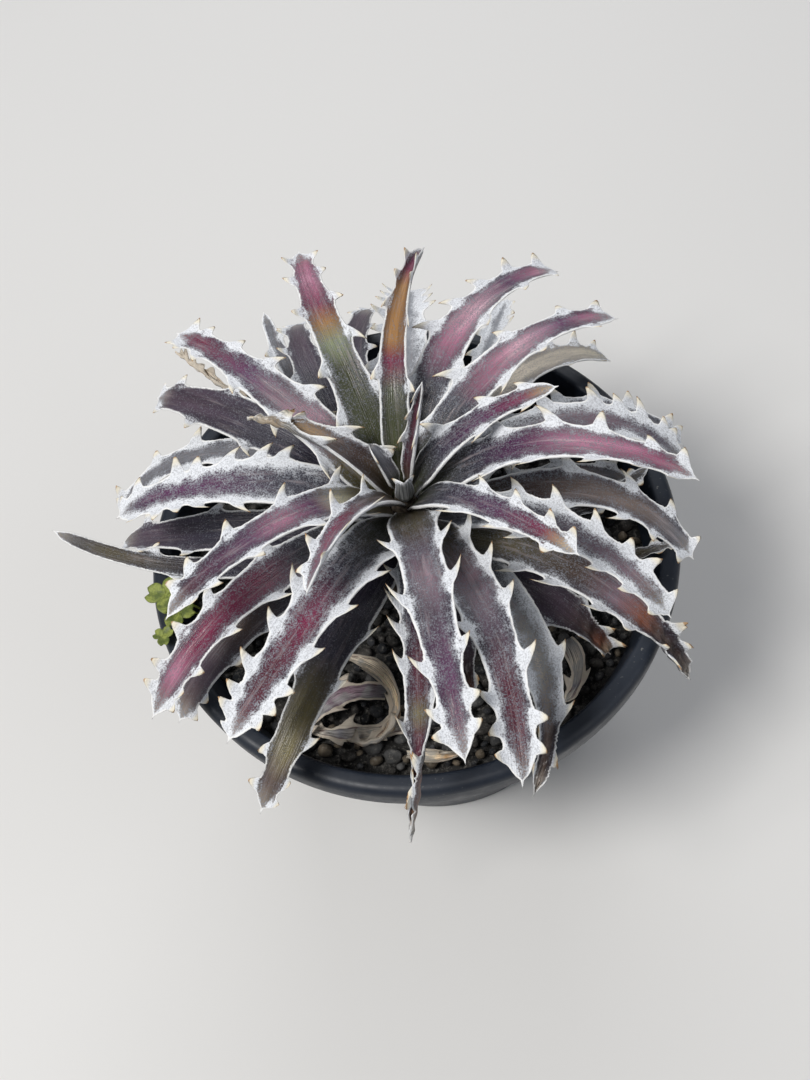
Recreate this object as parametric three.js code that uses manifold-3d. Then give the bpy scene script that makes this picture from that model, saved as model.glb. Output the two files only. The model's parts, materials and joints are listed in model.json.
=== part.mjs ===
// Dyckia bromeliad growing in a round plastic nursery pot.
// Millimetres, +Z up. The origin is the centre of the pot's underside, on the surface it stands on.
// Headings are degrees around Z, from +X towards +Y. Every piece is its own closed solid.

import * as THREE from 'three';
import { mergeVertices } from 'three/addons/utils/BufferGeometryUtils.js';
import Module from 'manifold-3d';

const wasm = await Module();
wasm.setup();

// ---- driving dimensions -------------------------------------------------------------------

const GAP = 0.35;                  // air left between touching pieces

const POT_HEIGHT = 115;
const POT_BASE_RADIUS = 53;
const POT_WALL = 1.6;
const POT_FLOOR = 2.5;
const RIM_RADIUS = 85;             // outside of the rolled rim
const RIM_WIDTH = 6.5;
const RIM_DROP = 11;               // height of the rim's outer skirt
const RIM_ROLL_RADIUS = 3;         // rounding of the rim's top
const SKIRT_TAPER = 0.6;           // the skirt pulls in this much at its foot
const SKIRT_EDGE = 1.2;            // thickness of the skirt's foot
const SKIRT_UNDERCUT = 3;          // the hollow under the skirt goes up this far
const FOOT_RECESS = 1.5;           // the floor's underside is raised inside the foot ring
const FOOT_RING_WIDTH = 5;
const FOOT_BEVEL = 1;
const BASE_BEVEL = 1.5;            // bevel around the outside of the pot's bottom
const FLOOR_BEVEL = 2;             // bevel between the floor and the wall, inside
const CENTRE_PAD_RADIUS = 14;      // solid pad in the middle of the floor, level with the foot ring
const DRAIN_HOLES = 6;
const DRAIN_RADIUS = 5;
const DRAIN_CIRCLE = 34;           // radius of the circle that the drain holes lie on

const GRAVEL_TOP = POT_HEIGHT - 14;
const GRAVEL_DEPTH = 9;
const GRAVEL_RIPPLE = 1;           // half the height difference between bumps and hollows
const GRAVEL_WAVE_X = 0.35;        // radians of wave per millimetre
const GRAVEL_WAVE_Y = 0.4;

const CROWN_TOP = POT_HEIGHT + 32; // growing point of the plant
const LEAF_STEP = 1;               // each leaf sits this much lower on the stem than the one before
const STEM_TOP_RADIUS = 1.5;
const STEM_FLARE = 0.24;           // how much the stem widens per millimetre downwards
const STEM_END = 4;                // the stem stops this far below the growing point

const LEAF_THICKNESS = 2.3;
const DRY_THICKNESS = 1.2;
const LEAF_BASE_WIDTH = 0.42;      // width at the stem, as a share of the full width
const LEAF_WIDENING = 0.22;        // share of the length where the full width is reached
const LEAF_NARROWING = 0.62;       // share of the width that is lost towards the tip
const NARROWING_POWER = 1.5;
const LEAF_TIP_WIDTH = 0.4;        // width of the blunt tip, as a share of the width just behind it
const LEAF_BASE_THICKNESS = 0.6;   // thickness at the stem, as a share of the full thickness
const LEAF_THICKENING = 0.15;      // share of the length where the full thickness is reached
const LEAF_THINNING = 0.45;        // share of the thickness that is lost towards the tip
const EDGE_THINNING = 0.5;         // share of the thickness that is lost from the midrib to the edges
const LEAF_CHANNEL = 0.16;         // depth of the upper face's channel, as a share of the half width
const TOOTH_SHARE = 0.18;          // length of a marginal tooth, as a share of the leaf's width
const TOOTH_SHRINKING = 0.4;       // share of the tooth's length that is lost towards the tip
const STATION_LENGTH = 5.4;        // spacing of the leaf's cross-sections, two to each tooth
const SWEEP_POWER = 1.5;           // leaves turn sideways more towards their tips

const ROUND_SEGMENTS = 48;
const GRAVEL_SEGMENTS = 40;
const STEM_SEGMENTS = 20;
const MERGE_DISTANCE = 1e-4;

// ---- colours ------------------------------------------------------------------------------

const BLACK_PLASTIC = 0x1d2126;
const DARK_SOIL = 0x2b2420;
const GREY_GRIT = 0x3a3c3e;
const STEM_BROWN = 0x5a5348;
const PURPLE = 0x6b3550;
const DARK_PURPLE = 0x4b3a45;
const SILVER = 0x9a96a0;
const OLIVE = 0x6d6650;
const BROWN = 0x6a5048;
const DRY = 0xa08e78;
const CLOVER_GREEN = 0x7f8a4a;

// ---- leaves, from the youngest to the oldest ----------------------------------------------
// heading: direction in which the leaf leaves the stem; sweep: its change along the leaf
// rise, fall: slope of the leaf at its base and at its tip, in degrees above the horizontal

const LEAVES = [
  // name, heading, length, rise, fall, sweep, width, colour
  ['spear_leaf_1', 40, 40, 80, 68, 0, 8, PURPLE],
  ['spear_leaf_2', 135, 18, 75, 60, 0, 7, SILVER],
  ['spear_leaf_3', -85, 16, 82, 70, 0, 7, SILVER],
  ['young_leaf_1', 10, 58, 66, 2, -6, 10, PURPLE],
  ['young_leaf_2', -134, 64, 66, 0, 22, 9, PURPLE],
  ['young_leaf_3', 149, 52, 66, 0, 13, 11, SILVER],
  ['young_leaf_4', -47, 71, 62, -6, -2, 10, PURPLE],
  ['upper_leaf_1', 85, 86, 58, -26, -26, 10, PURPLE],
  ['upper_leaf_2', -88, 101, 55, -24, -2, 14, PURPLE],
  ['upper_leaf_3', -8, 95, 63, -23, -28, 14, PURPLE],
  ['upper_leaf_4', -156, 91, 66, -18, 16, 13, PURPLE],
  ['upper_leaf_5', 42, 91, 57, -27, -37, 13, PURPLE],
  ['upper_leaf_6', 107, 94, 53, -22, -13, 13, PURPLE],
  ['upper_leaf_7', -124, 98, 50, -20, -11, 17, PURPLE],
  ['upper_leaf_8', 67, 101, 52, -35, -50, 14, PURPLE],
  ['upper_leaf_9', 134, 94, 50, -20, -5, 15, PURPLE],
  ['upper_leaf_10', -69, 105, 50, -26, -31, 15, PURPLE],
  ['middle_leaf_1', 167, 90, 49, -32, 15, 17, SILVER],
  ['middle_leaf_2', -27, 90, 50, -36, -32, 14, SILVER],
  ['middle_leaf_3', -154, 101, 46, -36, 18, 15, PURPLE],
  ['middle_leaf_4', -92, 103, 39, -34, -19, 11, BROWN],
  ['middle_leaf_5', 80, 94, 41, -44, 2, 18, SILVER],
  ['middle_leaf_6', 140, 95, 41, -33, 1, 18, DARK_PURPLE],
  ['middle_leaf_7', 26, 98, 42, -49, -66, 15, SILVER],
  ['middle_leaf_8', -122, 99, 36, -37, -8, 14, OLIVE],
  ['middle_leaf_9', -34, 104, 43, -66, -16, 16, OLIVE],
  ['middle_leaf_10', 49, 99, 37, -50, -40, 13, SILVER],
  ['middle_leaf_11', -51, 99, 32, -28, -76, 13, SILVER],
  ['lower_leaf_1', -156, 91, 36, -43, 18, 15, BROWN],
  ['lower_leaf_2', 114, 96, 32, -38, -26, 13, DARK_PURPLE],
  ['lower_leaf_3', 4, 90, 37, -39, -62, 15, BROWN],
  ['lower_leaf_4', 174, 92, 29, -36, -20, 17, DARK_PURPLE],
  ['lower_leaf_5', 103, 98, 29, -38, -40, 12, DARK_PURPLE],
  ['lower_leaf_6', -39, 66, 26, -46, -8, 17, DARK_PURPLE],
  ['lower_leaf_7', 37, 104, 32, -48, -70, 12, SILVER],
  ['lower_leaf_8', 132, 110, 31, -42, 80, 11, SILVER],
  ['lower_leaf_9', -76, 51, 29, -20, -20, 10, DARK_PURPLE],
  ['old_leaf_1', 117, 100, 22, -16, -21, 8, SILVER],
  ['old_leaf_2', 59, 94, 22, -20, 6, 8, SILVER],
  ['old_leaf_3', 19, 66, 20, -25, -30, 11, BROWN],
  ['old_leaf_4', -176, 110, 16, -2, -46, 8, SILVER],
  ['dry_leaf_1', 127, 104, 18, -8, 0, 5, DRY],
  ['dry_leaf_2', -6, 70, 12, 8, 36, 5, DRY],
  ['dry_leaf_3', -26, 74, 16, 6, 34, 5, DRY],
];

// Dead leaves that lie on the gravel. The first three numbers are where each one starts: X, Y and
// its height above the gravel.
const FALLEN_LEAVES = [
  // name, x, y, height, heading, length, rise, fall, sweep, width
  ['dry_leaf_4', -26, -35, 9, -29, 46, -2, -12, -200, 6],
  ['dry_leaf_5', -17, -47, 5, 161, 36, -3, -6, 109, 7],
  ['dry_leaf_6', -9, -57, 1.5, 185, 35, 0, 0, -29, 5],
  ['dry_leaf_7', -14, -67, 1.5, -25, 20, 20, -20, 50, 5],
  ['dry_leaf_8', 41, -42, 7, -72, 22, -5, -12, -84, 5],
  ['dry_leaf_9', -50, -14, 6, -155, 20, 0, -12, -10, 9],
];

// Three-lobed leaves of the clover: X, Y and height above the rim of each one's middle, the turn of
// its lobes and the length of a lobe.
const CLOVER_ROOT = [-67, -8];
const CLOVER_LEAVES = [
  [-80, -5.5, 4, 40, 6.5],
  [-77, -11.5, 2, 5, 5.5],
  [-82, -19, 3, 30, 3.5],
];
const CLOVER_STALK_RADIUS = 0.5;
const CLOVER_STALK_BOW = 2;        // how far the middle of a stalk stands above its straight line
const CLOVER_LOBE_THICKNESS = 0.5;
const CLOVER_LOBES = 3;

// ---- small helpers ------------------------------------------------------------------------

const radians = THREE.MathUtils.degToRad;
const smoothstep = THREE.MathUtils.smoothstep;

function bareGeometry(geometry) {
  const bare = new THREE.BufferGeometry();
  bare.setAttribute('position', geometry.getAttribute('position').clone());
  if (geometry.index) bare.setIndex(geometry.index.clone());
  return mergeVertices(bare, MERGE_DISTANCE);
}

function toSolid(geometry) {
  const bare = bareGeometry(geometry);
  const vertProperties = new Float32Array(bare.getAttribute('position').array);
  const triVerts = new Uint32Array(bare.index.array);
  return new wasm.Manifold(new wasm.Mesh({ numProp: 3, vertProperties, triVerts }));
}

function toGeometry(solid) {
  const { vertProperties, triVerts } = solid.getMesh();
  const geometry = new THREE.BufferGeometry();
  geometry.setAttribute('position', new THREE.BufferAttribute(vertProperties, 3));
  geometry.setIndex(new THREE.BufferAttribute(triVerts, 1));
  return geometry;
}

// A closed outline of [radius, height] points turned around Z.
function lathe(points, segments) {
  const outline = points.map(([radius, height]) => new THREE.Vector2(radius, height));
  const geometry = bareGeometry(new THREE.LatheGeometry(outline, segments));
  geometry.rotateX(Math.PI / 2);
  return geometry;
}

function arc(centreRadius, centreHeight, radius, fromDegrees, toDegrees, steps) {
  const points = [];
  for (let i = 0; i <= steps; i += 1) {
    const angle = radians(fromDegrees + ((toDegrees - fromDegrees) * i) / steps);
    points.push([centreRadius + radius * Math.cos(angle), centreHeight + radius * Math.sin(angle)]);
  }
  return points;
}

function piece(name, geometry, colour, roughness) {
  const material = new THREE.MeshStandardMaterial({ color: colour, roughness, metalness: 0 });
  const mesh = new THREE.Mesh(geometry, material);
  mesh.name = name;
  return mesh;
}

// ---- pot ----------------------------------------------------------------------------------

const RIM_INNER_RADIUS = RIM_RADIUS - RIM_WIDTH;
const FLOOR_TOP = POT_FLOOR + FOOT_RECESS;

// Inside and outside radius of the pot's wall at a height above the ground.
function potInside(height) {
  const baseInside = POT_BASE_RADIUS - POT_WALL;
  return baseInside + ((RIM_INNER_RADIUS - baseInside) * height) / POT_HEIGHT;
}

function potOutside(height) {
  return potInside(height) + POT_WALL;
}

function makePot() {
  const skirtFoot = POT_HEIGHT - RIM_DROP;
  const undercutTop = skirtFoot + SKIRT_UNDERCUT;
  const footInside = POT_BASE_RADIUS - FOOT_RING_WIDTH;
  const outline = [
    [0, 0],
    [CENTRE_PAD_RADIUS - FOOT_BEVEL, 0],
    [CENTRE_PAD_RADIUS, FOOT_RECESS],
    [footInside, FOOT_RECESS],
    [footInside + FOOT_BEVEL, 0],
    [POT_BASE_RADIUS - BASE_BEVEL, 0],
    [potOutside(BASE_BEVEL), BASE_BEVEL],
    [potOutside(undercutTop), undercutTop],
    [RIM_RADIUS - SKIRT_TAPER - SKIRT_EDGE, skirtFoot],
    [RIM_RADIUS - SKIRT_TAPER, skirtFoot + SKIRT_TAPER],
    ...arc(RIM_RADIUS - RIM_ROLL_RADIUS, POT_HEIGHT - RIM_ROLL_RADIUS, RIM_ROLL_RADIUS, 0, 165, 6),
    [potInside(skirtFoot), skirtFoot],
    [potInside(FLOOR_TOP + FLOOR_BEVEL), FLOOR_TOP + FLOOR_BEVEL],
    [potInside(FLOOR_TOP) - FLOOR_BEVEL, FLOOR_TOP],
    [0, FLOOR_TOP],
  ];
  let solid = toSolid(lathe(outline, ROUND_SEGMENTS));
  for (let i = 0; i < DRAIN_HOLES; i += 1) {
    const angle = ((i + 0.5) * 2 * Math.PI) / DRAIN_HOLES;
    const drill = new THREE.CylinderGeometry(DRAIN_RADIUS, DRAIN_RADIUS, 4 * POT_FLOOR, 16);
    drill.rotateX(Math.PI / 2);
    drill.translate(DRAIN_CIRCLE * Math.cos(angle), DRAIN_CIRCLE * Math.sin(angle), POT_FLOOR);
    solid = solid.subtract(toSolid(drill));
  }
  return piece('pot', toGeometry(solid), BLACK_PLASTIC, 0.5);
}

// ---- potting mix, stem and gravel ---------------------------------------------------------

const MIX_TOP = GRAVEL_TOP - GRAVEL_DEPTH - GAP;

function stemRadius(height) {
  return STEM_TOP_RADIUS + (CROWN_TOP - height) * STEM_FLARE;
}

function makePottingMix() {
  const bottom = FLOOR_TOP + GAP;
  const bevelTop = bottom + FLOOR_BEVEL + GAP;
  const outline = [
    [0, bottom],
    [potInside(bottom) - FLOOR_BEVEL - GAP, bottom],
    [potInside(bevelTop) - GAP, bevelTop],
    [potInside(MIX_TOP) - GAP, MIX_TOP],
    [0, MIX_TOP],
  ];
  return piece('potting_mix', lathe(outline, ROUND_SEGMENTS), DARK_SOIL, 1);
}

function makeStem() {
  const foot = MIX_TOP + GAP;
  const footBevel = 1;
  const top = CROWN_TOP - STEM_END;
  const outline = [
    [0, foot],
    [stemRadius(foot) - footBevel, foot],
    [stemRadius(foot + footBevel), foot + footBevel],
    [stemRadius(top), top],
    [0, top + 1],
  ];
  return piece('stem', lathe(outline, STEM_SEGMENTS), STEM_BROWN, 0.9);
}

// A ring around the stem, flat below and gently rippled on top.
function makeGravelBed() {
  const bottom = MIX_TOP + GAP;
  const lowestTop = GRAVEL_TOP - 2 * GRAVEL_RIPPLE;
  const clearance = 1.5 * GAP;
  const inner = stemRadius(bottom) + GAP;
  const outer = potInside(lowestTop) - clearance;
  const rings = 5;
  const outline = [[inner, bottom], [potInside(bottom) - clearance, bottom]];
  for (let i = 0; i <= rings; i += 1) {
    outline.push([outer + ((inner - outer) * i) / rings, GRAVEL_TOP]);
  }
  outline.push([inner, bottom]);
  const geometry = lathe(outline, GRAVEL_SEGMENTS);
  const position = geometry.getAttribute('position');
  for (let i = 0; i < position.count; i += 1) {
    if (position.getZ(i) > lowestTop) {
      const waveX = Math.sin(position.getX(i) * GRAVEL_WAVE_X);
      const waveY = Math.cos(position.getY(i) * GRAVEL_WAVE_Y);
      position.setZ(i, GRAVEL_TOP + GRAVEL_RIPPLE * (waveX * waveY - 1));
    }
  }
  return piece('gravel_bed', geometry, GREY_GRIT, 0.95);
}

// ---- leaves -------------------------------------------------------------------------------

// Points and directions along a leaf's midrib, one for each cross-section.
function midrib(leaf, stations) {
  const fineSteps = 4;
  const step = leaf.length / (stations * fineSteps);
  const point = leaf.start.clone();
  const frames = [];
  for (let i = 0; i <= stations * fineSteps; i += 1) {
    const share = i / (stations * fineSteps);
    const heading = radians(leaf.heading + leaf.sweep * share ** SWEEP_POWER);
    const slope = radians(leaf.rise + (leaf.fall - leaf.rise) * share);
    const along = new THREE.Vector3(
      Math.cos(slope) * Math.cos(heading),
      Math.cos(slope) * Math.sin(heading),
      Math.sin(slope),
    );
    const side = new THREE.Vector3(-Math.sin(heading), Math.cos(heading), 0);
    const up = along.clone().cross(side);
    if (i % fineSteps === 0) frames.push({ point: point.clone(), side, up });
    point.addScaledVector(along, step);
  }
  return frames;
}

function leafHalfWidth(leaf, station, stations) {
  const share = station / stations;
  const widening = LEAF_BASE_WIDTH + (1 - LEAF_BASE_WIDTH) * smoothstep(share, 0, LEAF_WIDENING);
  const narrowing = 1 - LEAF_NARROWING * share ** NARROWING_POWER;
  const tip = station === stations ? LEAF_TIP_WIDTH : 1;
  const isTooth = station % 2 === 1 && station > 1 && station < stations - 1;
  const tooth = isTooth ? TOOTH_SHARE * leaf.width * (1 - TOOTH_SHRINKING * share) : 0;
  return (leaf.width / 2) * widening * narrowing * tip + tooth;
}

function leafHalfThickness(leaf, share, across) {
  const thickening = smoothstep(share, 0, LEAF_THICKENING);
  const base = LEAF_BASE_THICKNESS + (1 - LEAF_BASE_THICKNESS) * thickening;
  const thinning = (1 - LEAF_THINNING * share) * (1 - EDGE_THINNING * Math.abs(across));
  return (leaf.thickness / 2) * base * thinning;
}

// A thin box with toothed edges and a shallow channel, bent along the midrib.
function leafGeometry(leaf) {
  const stations = 2 * Math.round(leaf.length / (2 * STATION_LENGTH)) + 2;
  const frames = midrib(leaf, stations);
  const geometry = bareGeometry(new THREE.BoxGeometry(1, 1, 1, stations, 2, 1));
  const position = geometry.getAttribute('position');
  for (let i = 0; i < position.count; i += 1) {
    const share = position.getX(i) + 0.5;
    const across = position.getY(i) * 2;
    const face = position.getZ(i) * 2;
    const station = Math.round(share * stations);
    const { point, side, up } = frames[station];
    const halfWidth = leafHalfWidth(leaf, station, stations);
    const channel = LEAF_CHANNEL * halfWidth * across * across;
    const moved = point.clone();
    moved.addScaledVector(side, across * halfWidth);
    moved.addScaledVector(up, channel + face * leafHalfThickness(leaf, share, across));
    position.setXYZ(i, moved.x, moved.y, moved.z);
  }
  return geometry;
}

function growingLeaf([name, heading, length, rise, fall, sweep, width, colour], index) {
  const height = CROWN_TOP - LEAF_STEP * index;
  const radius = stemRadius(height) + LEAF_THICKNESS / 2 + GAP;
  const angle = radians(heading);
  const start = new THREE.Vector3(radius * Math.cos(angle), radius * Math.sin(angle), height);
  return { name, start, heading, length, rise, fall, sweep, width, colour, thickness: LEAF_THICKNESS };
}

function fallenLeaf([name, x, y, lift, heading, length, rise, fall, sweep, width]) {
  const start = new THREE.Vector3(x, y, GRAVEL_TOP + lift);
  return { name, start, heading, length, rise, fall, sweep, width, colour: DRY, thickness: DRY_THICKNESS };
}

function makeLeaves() {
  const leaves = [...LEAVES.map(growingLeaf), ...FALLEN_LEAVES.map(fallenLeaf)];
  return leaves.map((leaf) => piece(leaf.name, leafGeometry(leaf), leaf.colour, 0.6));
}

// ---- clover -------------------------------------------------------------------------------

// A heart-shaped lobe in the XY plane, its point at the origin and its notch towards +X.
function lobeGeometry(size) {
  const pointBehind = 0.3;
  const bulgeX = 0.35 * size;
  const bulgeY = 0.75 * size;
  const shoulderY = 0.42 * size;
  const heart = new THREE.Shape();
  heart.moveTo(-pointBehind, 0);
  heart.quadraticCurveTo(bulgeX, bulgeY, size, shoulderY);
  heart.lineTo(0.82 * size, 0);
  heart.lineTo(size, -shoulderY);
  heart.quadraticCurveTo(bulgeX, -bulgeY, -pointBehind, 0);
  const settings = { depth: CLOVER_LOBE_THICKNESS, bevelEnabled: false, curveSegments: 4 };
  return new THREE.ExtrudeGeometry(heart, settings);
}

function stalkGeometry(from, to) {
  const middle = from.clone().lerp(to, 0.5);
  middle.z += CLOVER_STALK_BOW;
  const path = new THREE.CatmullRomCurve3([from, middle, to]);
  const section = new THREE.Shape().absarc(0, 0, CLOVER_STALK_RADIUS, 0, 2 * Math.PI);
  return new THREE.ExtrudeGeometry(section, { steps: 8, extrudePath: path, curveSegments: 3 });
}

function makeClover() {
  const root = new THREE.Vector3(CLOVER_ROOT[0], CLOVER_ROOT[1], GRAVEL_TOP + GAP);
  const parts = [];
  for (const [x, y, lift, turn, size] of CLOVER_LEAVES) {
    const middle = new THREE.Vector3(x, y, POT_HEIGHT + lift);
    parts.push(stalkGeometry(root, middle));
    for (let i = 0; i < CLOVER_LOBES; i += 1) {
      const lobe = lobeGeometry(size);
      lobe.rotateZ(radians(turn + (360 * i) / CLOVER_LOBES));
      lobe.translate(middle.x, middle.y, middle.z - CLOVER_LOBE_THICKNESS);
      parts.push(lobe);
    }
  }
  const solid = parts.map(toSolid).reduce((whole, part) => whole.add(part));
  return piece('clover_sprig', toGeometry(solid), CLOVER_GREEN, 0.7);
}

// ---- the whole plant ----------------------------------------------------------------------

const plant = new THREE.Group();
plant.add(makePot(), makePottingMix(), makeGravelBed(), makeStem());
plant.add(...makeLeaves());
plant.add(makeClover());

export default plant;
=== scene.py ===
"""A dyckia bromeliad in its nursery pot: fine leaves, spines, gravel and finishes around the CAD model.

Shapes are worked out in millimetres, in the CAD model's frame, and turned into metres when a mesh
is made. The leaf tables repeat the CAD leaves, so every leaf stands where its CAD node stands. Only
the three spear leaves are slimmer here.
"""

import json
import random
from math import cos, pi, radians, sin, sqrt

import bmesh
import bpy
import numpy as np
from mathutils import Matrix, Vector


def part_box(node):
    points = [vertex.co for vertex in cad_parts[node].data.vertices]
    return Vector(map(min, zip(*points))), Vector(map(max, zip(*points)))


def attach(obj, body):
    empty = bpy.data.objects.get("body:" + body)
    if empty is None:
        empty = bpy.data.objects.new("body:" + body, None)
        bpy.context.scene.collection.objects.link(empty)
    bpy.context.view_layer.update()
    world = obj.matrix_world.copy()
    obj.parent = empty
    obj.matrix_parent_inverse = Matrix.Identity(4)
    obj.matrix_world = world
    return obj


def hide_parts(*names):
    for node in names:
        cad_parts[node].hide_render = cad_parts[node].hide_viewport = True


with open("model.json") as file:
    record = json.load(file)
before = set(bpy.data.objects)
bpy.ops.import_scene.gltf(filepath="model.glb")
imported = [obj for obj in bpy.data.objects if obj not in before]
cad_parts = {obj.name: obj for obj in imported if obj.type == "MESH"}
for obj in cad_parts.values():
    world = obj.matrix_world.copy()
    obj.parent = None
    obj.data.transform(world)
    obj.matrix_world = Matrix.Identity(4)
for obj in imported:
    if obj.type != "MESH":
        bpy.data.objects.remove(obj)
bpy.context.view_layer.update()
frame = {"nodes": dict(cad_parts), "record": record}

MM = 0.001  # metres in a millimetre


# ---- sizes, in millimetres ----


def top_of(node):
    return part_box(node)[1].z / MM


POT_HEIGHT = top_of("pot")
RIM_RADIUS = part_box("pot")[1].x / MM
RIM_WIDTH = 6.5
RIM_DROP = 11.0  # height of the rim's outer skirt
RIM_ROLL_RADIUS = 3.0
POT_BASE_RADIUS = 53.0
POT_WALL = 1.6
FLOOR_TOP = 4.0  # inside of the pot's floor
GRAVEL_TOP = top_of("gravel_bed")
GRAVEL_DEPTH = 9.0
GAP = 0.35  # between the stem and a leaf

CROWN_TOP = POT_HEIGHT + 32.0
LEAF_STEP = 1.0  # height from one leaf's base to the next one's
STEM_TOP_RADIUS = 1.5
STEM_FLARE = 0.24  # growth of the stem's radius for a millimetre down
LEAF_THICKNESS = 2.3
DRY_THICKNESS = 1.2
SWEEP_POWER = 1.5  # above 1, a leaf turns and rolls more towards its tip


# ---- leaves ----
# heading, rise, fall and sweep are degrees, length and width millimetres, as in the CAD model.
# look: a row of LOOKS; twist: how far the blade rolls over towards its tip, in degrees
# The last two values of a row are the tips of the spines on the right and the left margin, seen from
# above towards the tip, in millimetres from the base. A leaf without them grows its own at random.

LEAVES = []


def add_leaves(kind, *rows):
    LEAVES.extend((f"{kind}_leaf_{number}", *row) for number, row in enumerate(rows, 1))


# heading, length, rise, fall, sweep, width, look, twist, spines
add_leaves(
    "spear",
    (40, 40, 80, 68, 0, 5, "dark_red", 20, (20, 30), (18, 28, 35)),
    (135, 18, 75, 60, 0, 6, "crown", 0, (12,), (14,)),
    (-85, 16, 82, 70, 0, 6, "crown", 0, (13,), (11,)),
)
add_leaves(
    "young",
    (10, 58, 66, 2, -6, 10, "plum_tan_tip", -10, (30, 46), (18, 35, 47)),
    (-134, 64, 66, 0, 22, 9, "wine_brown", 40, (13, 30, 47, 57), (25, 41, 54)),
    (149, 52, 66, 0, 13, 11, "tan_half", 30, (10, 21, 37), (27, 40)),
    (-47, 71, 62, -6, -2, 10, "plum_tan_tip", 10, (28, 44, 62), (31, 45, 58, 66)),
)
add_leaves(
    "upper",
    (85, 86, 58, -26, -26, 10, "orange_middle", -10, (29, 47, 64, 74), (33, 54, 67, 75)),
    (-88, 101, 55, -24, -2, 14, "mauve", 8, (28, 50, 72, 86, 93), (14, 30, 47, 69, 84, 91)),
    (-8, 95, 63, -23, -28, 14, "rose_end", -12, (31, 45, 62, 76, 86), (18, 33, 48, 65, 78, 88)),
    (-156, 91, 66, -18, 16, 13, "cream_rose", 12, (21, 41, 61, 75, 83), (22, 38, 60, 74, 82)),
    (42, 91, 57, -27, -37, 13, "rose", -8, (27, 42, 60, 80), (16, 33, 53, 73, 85)),
    (107, 94, 53, -22, -13, 13, "green_orange", 10, (30, 48, 65, 80, 88), (24, 41, 63, 78, 86)),
    (-124, 98, 50, -20, -11, 17, "frosted_wine", 6,
     (30, 46, 61, 75, 84, 89, 94), (22, 34, 50, 65, 78, 85, 90)),
    (67, 101, 52, -35, -50, 14, "rose", -12, (24, 40, 57, 78, 96), (30, 47, 58, 69, 83, 94)),
    (134, 94, 50, -20, -5, 15, "plum_rose", 8, (39, 54, 69, 82, 88), (20, 40, 58, 76, 85, 90)),
    (-69, 105, 50, -26, -31, 15, "mauve_wine", -6, (30, 57, 78, 90, 96), (20, 37, 51, 69, 88, 96)),
)
add_leaves(
    "middle",
    (167, 90, 49, -32, 15, 17, "silver_stripe", 6, (33, 39, 48, 60, 66, 79, 87), (30, 45, 56, 66, 74, 82)),
    (-27, 90, 50, -36, -32, 14, "silver_dusk", -6, (37, 51, 62, 73, 84, 93), (30, 42, 55, 67, 76, 85, 93)),
    (-154, 101, 46, -36, 18, 15, "wine", 8, (40, 60, 75, 86, 92), (28, 46, 64, 80, 88, 94)),
    (-92, 103, 39, -34, -19, 11, "dry_ended", 25, (18, 30, 40, 51, 70, 84, 92), (35, 60, 80, 90)),
    (80, 94, 41, -44, 2, 18, "silver", 4, (35, 55, 68, 78, 84, 89), (40, 57, 66, 74, 82, 88)),
    (140, 95, 41, -33, 1, 18, "dusky", -16, (30, 60, 82, 91), (45, 70, 88)),
    (26, 98, 42, -49, -66, 15, "silver_mauve", -8, (30, 50, 70, 84), (45, 59, 67, 73, 83, 88)),
    (-122, 99, 36, -37, -8, 14, "olive_middle", 6, (30, 55, 82, 91), (38, 55, 72, 86, 93)),
    (-34, 104, 43, -66, -16, 16, "olive_streak", -6, (31, 42, 57, 71, 82, 92), (60, 84, 92)),
    (49, 99, 37, -50, -40, 13, "silver_tan", -6, (50, 70, 88), (39, 55, 72, 83, 92)),
    (-51, 99, 32, -28, -76, 13, "silver_bark", -14, (40, 60, 80, 90), (56, 73, 88)),
)
add_leaves(
    "lower",
    (-156, 91, 36, -43, 18, 15, "bark", 6, (50, 70, 80, 86), (45, 62, 78, 85)),
    (114, 96, 32, -38, -26, 13, "dusky", -4),
    (4, 90, 37, -39, -62, 15, "taupe", -10, (40, 58, 74, 86), (40, 57, 73, 86)),
    (174, 92, 29, -36, -20, 17, "slate", 4, (50, 80), (35, 60, 75, 86)),
    (103, 98, 29, -38, -40, 12, "slate", 0),
    (-39, 66, 26, -46, -8, 17, "rusty_end", 10, (25, 39, 52, 62), (20, 45, 58, 64)),
    (37, 104, 32, -48, -70, 12, "ash", 0),
    (132, 110, 31, -42, 80, 11, "ash", 0),
    (-76, 51, 29, -20, -20, 10, "rusty_end", 0),
)
add_leaves(
    "old",
    (117, 100, 22, -16, -21, 8, "ash", 0, (58, 82), (48, 74)),
    (59, 94, 22, -20, 6, 8, "silver", 0),
    (19, 66, 20, -25, -30, 11, "taupe", 0),
    (-176, 110, 16, -2, -46, 8, "charcoal", 0, (46, 72), (34, 62)),
)
add_leaves(
    "dry",
    (127, 104, 18, -8, 0, 5, "straw", 30),
    (-6, 70, 12, 8, 36, 5, "charcoal", 20),
    (-26, 74, 16, 6, 34, 5, "charcoal", -20),
)

FALLEN_LEAVES = [
    # name, x, y, height above the gravel, heading, length, rise, fall, sweep, width, look, twist
    ("dry_leaf_4", -26, -35, 9, -29, 46, -2, -12, -200, 6, "straw", 60),
    ("dry_leaf_5", -17, -47, 5, 161, 36, -3, -6, 109, 7, "faded", 20),
    ("dry_leaf_6", -9, -57, 1.5, 185, 35, 0, 0, -29, 5, "husk", 10),
    ("dry_leaf_7", -14, -67, 1.5, -25, 20, 20, -20, 50, 5, "straw", 40),
    ("dry_leaf_8", 41, -42, 7, -72, 22, -5, -12, -84, 5, "husk", 30),
    ("dry_leaf_9", -50, -14, 6, -155, 20, 0, -12, -10, 9, "rust", 10),
]

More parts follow.
